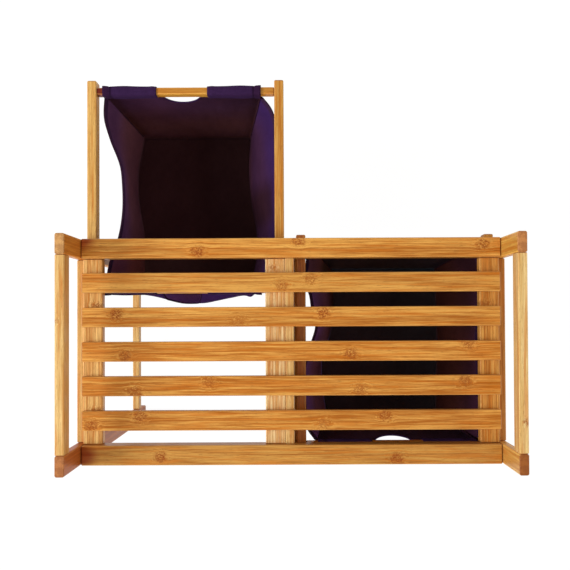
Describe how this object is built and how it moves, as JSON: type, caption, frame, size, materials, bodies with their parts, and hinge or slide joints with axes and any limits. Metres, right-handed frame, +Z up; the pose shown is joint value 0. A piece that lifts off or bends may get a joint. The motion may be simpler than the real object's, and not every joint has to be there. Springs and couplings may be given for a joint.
{
  "type": "laundry hamper bench",
  "caption": "Slatted bamboo bench hamper with raised arms, whose framed fabric bins hang on tongue runners under the seat and slide out at the front.",
  "frame": {"origin": "on the floor, in the middle of the rectangle that the hamper covers with its right bin drawn out, as it stands at rest", "axes": "+X along the bench to the right of someone facing its front, +Y to the back, +Z up"},
  "size_m": [0.73, 0.652, 0.545],
  "materials": {
    "bamboo": "laminated bamboo in strips about 5 mm wide, caramel coloured, under thin satin lacquer",
    "bag_fabric": "plain woven cotton canvas, dark purple, matt",
    "steel": "zinc-plated steel furniture bolts, nuts and screws",
    "glide": "matt brown plastic pad"
  },
  "bodies": {
    "bench": {"arm_left": "bamboo", "side_rail_left": "bamboo", "foot_rail_left": "bamboo", "post_front_left": "bamboo", "post_back_left": "bamboo", "runner_left_outer": "bamboo", "runner_left_inner": "bamboo", "arm_right": "bamboo", "side_rail_right": "bamboo", "foot_rail_right": "bamboo", "post_front_right": "bamboo", "post_back_right": "bamboo", "runner_right_outer": "bamboo", "runner_right_inner": "bamboo", "crossbar_left": "bamboo", "crossbar_middle": "bamboo", "crossbar_right": "bamboo", "centre_board": "bamboo", "seat_rail_front": "bamboo", "seat_rail_back": "bamboo", "seat_slat_1": "bamboo", "seat_slat_2": "bamboo", "seat_slat_3": "bamboo", "seat_slat_4": "bamboo", "seat_slat_5": "bamboo", "foot_glide_front_left": "glide", "seat_bolt_front_left": "steel", "barrel_nut_front_left": "steel", "foot_glide_back_left": "glide", "seat_bolt_back_left": "steel", "barrel_nut_back_left": "steel", "foot_glide_front_right": "glide", "seat_bolt_front_right": "steel", "barrel_nut_front_right": "steel", "foot_glide_back_right": "glide", "seat_bolt_back_right": "steel", "barrel_nut_back_right": "steel"},
    "left_bin": {"left_bin_rail_outer": "bamboo", "left_bin_rail_inner": "bamboo", "left_bin_bar_front": "bamboo", "left_bin_bar_back": "bamboo", "left_bin_screw_front_left": "steel", "left_bin_screw_back_left": "steel", "left_bin_screw_front_right": "steel", "left_bin_screw_back_right": "steel", "left_bin_bag": "bag_fabric"},
    "right_bin": {"right_bin_rail_outer": "bamboo", "right_bin_rail_inner": "bamboo", "right_bin_bar_front": "bamboo", "right_bin_bar_back": "bamboo", "right_bin_screw_front_left": "steel", "right_bin_screw_back_left": "steel", "right_bin_screw_front_right": "steel", "right_bin_screw_back_right": "steel", "right_bin_bag": "bag_fabric"}
  },
  "joints": [
    {"name": "left_bin_slide", "type": "slide", "parent": "bench", "child": "left_bin", "axis": [0, -1, 0], "range_m": [0, 0.2664]},
    {"name": "right_bin_slide", "type": "slide", "parent": "bench", "child": "right_bin", "axis": [0, -1, 0], "range_m": [-0.2664, 0]}
  ]
}
